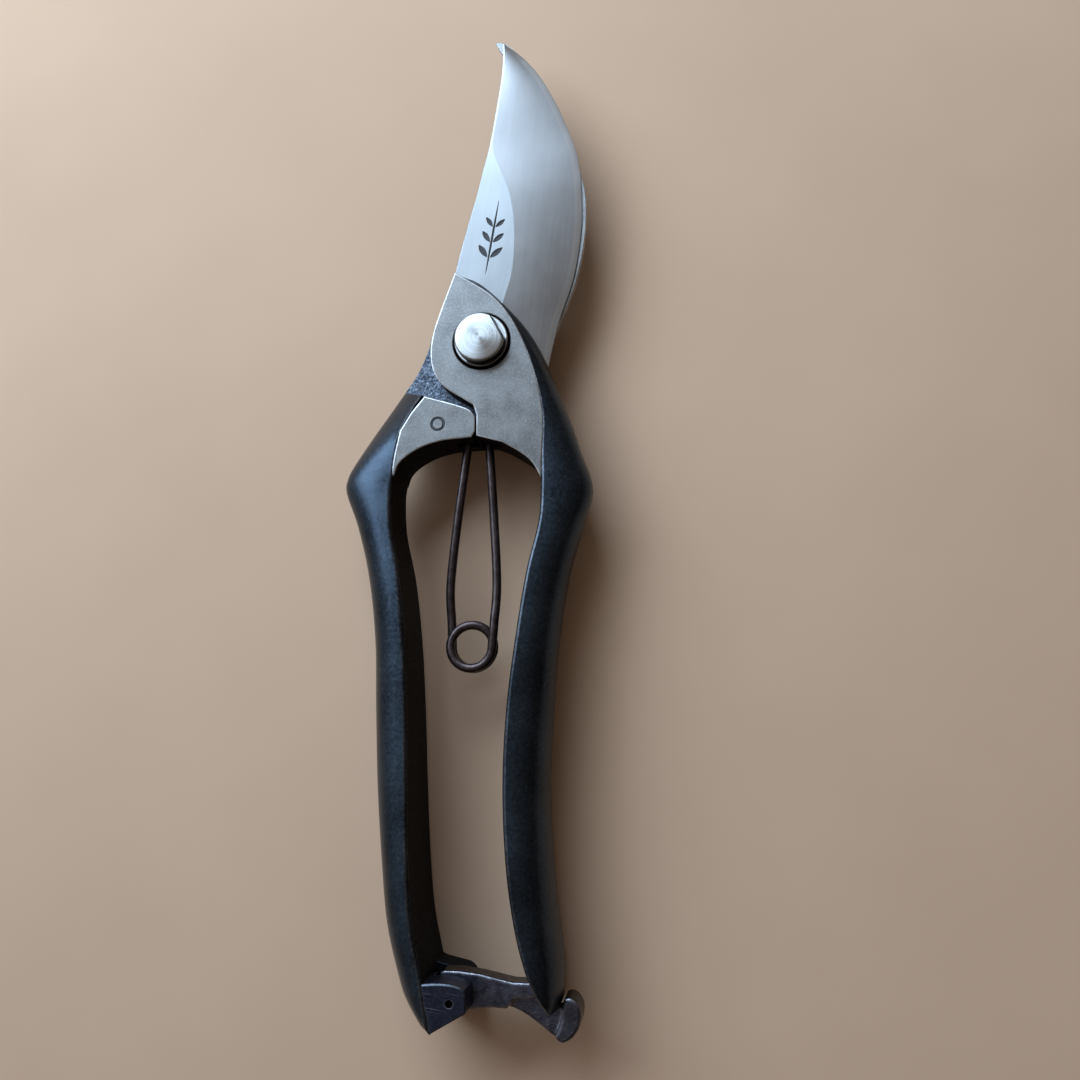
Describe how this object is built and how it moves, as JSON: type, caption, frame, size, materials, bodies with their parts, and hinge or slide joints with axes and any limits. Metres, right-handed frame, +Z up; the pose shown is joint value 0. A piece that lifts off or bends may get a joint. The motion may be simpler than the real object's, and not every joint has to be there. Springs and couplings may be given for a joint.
{
  "type": "bypass pruning secateurs",
  "caption": "Forged steel bypass secateurs with a curved cutting blade, a hooked counter blade, bowed handles, a coil spring and a swinging end latch, shown latched shut.",
  "frame": {"origin": "on the pivot axis, at the end face of the pivot bolt, which is level with the surface the tool lies on", "axes": "+Z up along the pivot axis towards the bolt head, +Y towards the blade tips, +X towards the handle of the cutting half"},
  "size_m": [0.0503, 0.201, 0.0199],
  "materials": {
    "forged_black": "forged carbon steel, blue-black oxide with ground bright flats on the blade, boss and stop shoulder",
    "turned_bright": "turned bright steel",
    "plated_grey": "plated steel, satin",
    "spring_brown": "oil-tempered spring wire, dark brown satin",
    "latch_brown": "dark oxide with edges worn bright",
    "pin_steel": "dark drawn steel"
  },
  "bodies": {
    "counter": {"counter_half": "forged_black", "latch_pin": "pin_steel"},
    "cutting": {"cutting_half": "forged_black", "pivot_bolt": "turned_bright", "pivot_nut": "plated_grey", "pivot_washer": "plated_grey"},
    "spring_left": {"spring_left_arm": "spring_brown"},
    "spring_right": {"spring_right_arm": "spring_brown"},
    "latch": {"latch": "latch_brown"}
  },
  "joints": [
    {"name": "blade_pivot", "type": "hinge", "parent": "counter", "child": "cutting", "pos_m": [0, 0, 0.01], "axis": [0, 0, 1], "range_deg": [0, 30]},
    {"name": "spring_left_pivot", "type": "hinge", "parent": "counter", "child": "spring_left", "pos_m": [-0.0036, -0.0199, 0.01], "axis": [0, 0, 1], "range_deg": [0, 20.5]},
    {"name": "spring_coil", "type": "hinge", "parent": "spring_left", "child": "spring_right", "pos_m": [-0.0025, -0.0605, 0.01], "axis": [0, 0, 1], "range_deg": [-14.8, 0]},
    {"name": "latch_pivot", "type": "hinge", "parent": "counter", "child": "latch", "pos_m": [-0.0042, -0.125, 0.01], "axis": [0, 0, 1], "range_deg": [-90, 0]}
  ],
  "couplings": [
    {"joint": "spring_left_pivot", "follows": "blade_pivot", "ratio": 0.665},
    {"joint": "spring_coil", "follows": "blade_pivot", "ratio": -0.48}
  ]
}
